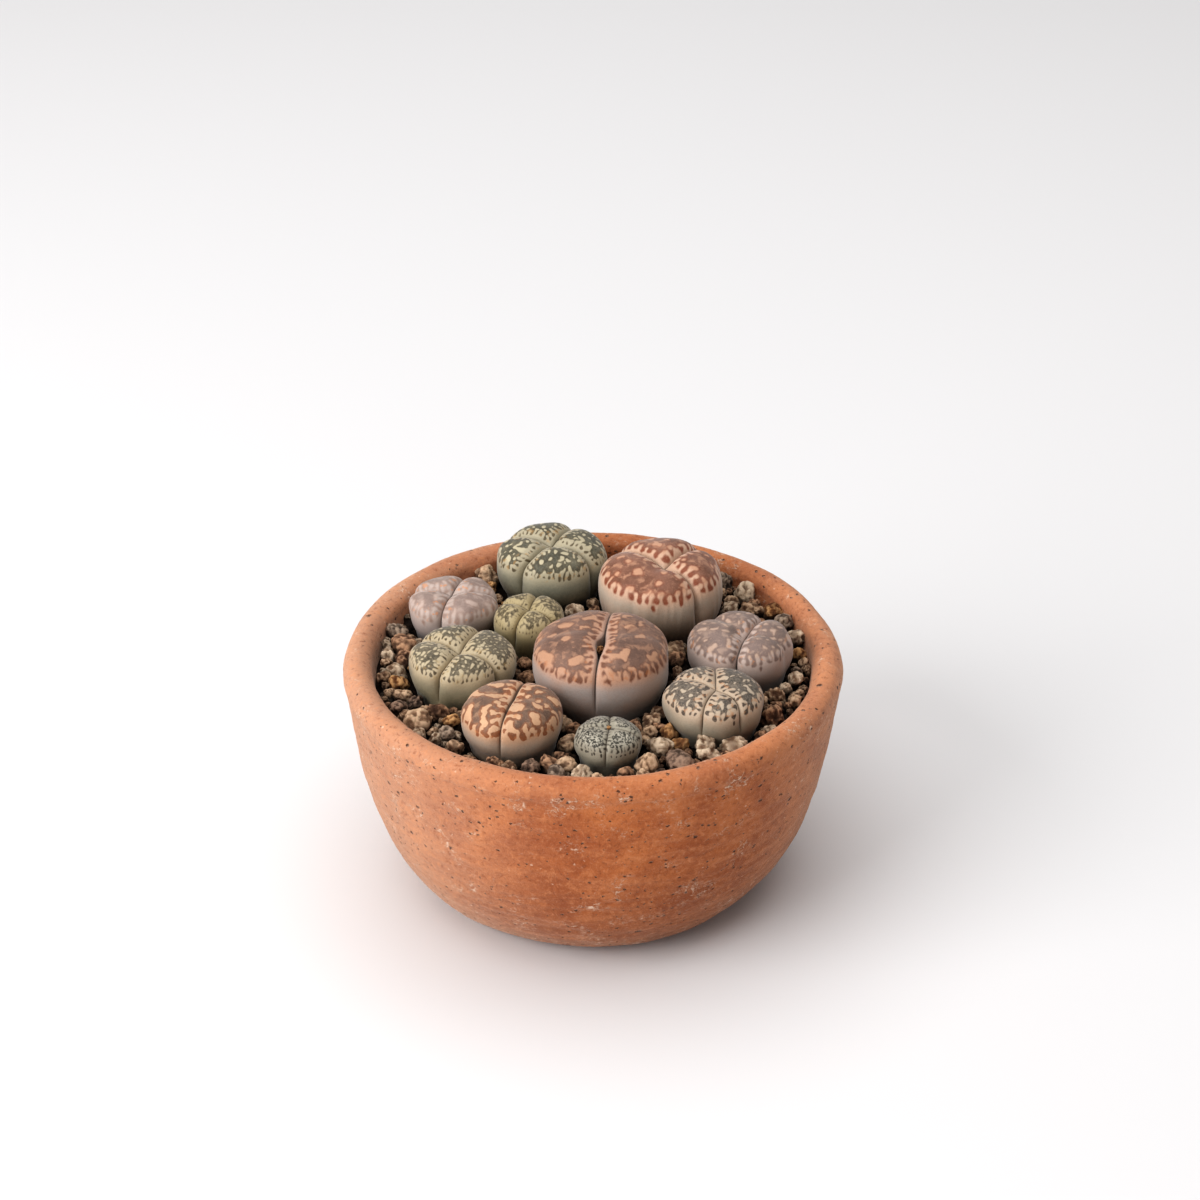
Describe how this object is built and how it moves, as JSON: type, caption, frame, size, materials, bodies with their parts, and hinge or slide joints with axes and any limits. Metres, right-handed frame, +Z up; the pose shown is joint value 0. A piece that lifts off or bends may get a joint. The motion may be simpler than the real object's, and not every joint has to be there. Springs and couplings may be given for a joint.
{
  "type": "potted lithops",
  "caption": "Round terracotta bowl of living stone succulents set in loose grit, with lobed, patterned heads of mixed sizes and colours.",
  "frame": {"origin": "centre of the pot's flat base, on the surface it stands on", "axes": "+Z up, out of the bowl's mouth; +X to the right and -Y towards the viewer in the pictured view"},
  "size_m": [0.15, 0.15, 0.0888],
  "materials": {
    "terracotta": "matte",
    "terracotta_shard": "matte",
    "potting_mix": "matte",
    "grit": "matte",
    "skin_sage": "satin",
    "skin_brick": "satin",
    "skin_left_mauve": "satin",
    "skin_olive": "satin",
    "skin_left_green": "satin",
    "skin_brown": "satin",
    "skin_right_mauve": "satin",
    "skin_charcoal": "satin",
    "skin_orange": "satin",
    "skin_small_grey": "satin"
  },
  "bodies": {
    "root": {"pot": "terracotta", "drainage_crock": "terracotta_shard", "potting_mix": "potting_mix", "grit_top_dressing": "grit", "lithops_back_green": "skin_sage", "lithops_back_red": "skin_brick", "lithops_left_mauve": "skin_left_mauve", "lithops_small_olive": "skin_olive", "lithops_left_green": "skin_left_green", "lithops_centre_brown": "skin_brown", "lithops_right_mauve": "skin_right_mauve", "lithops_front_grey": "skin_charcoal", "lithops_front_orange": "skin_orange", "lithops_front_small": "skin_small_grey"}
  },
  "joints": []
}
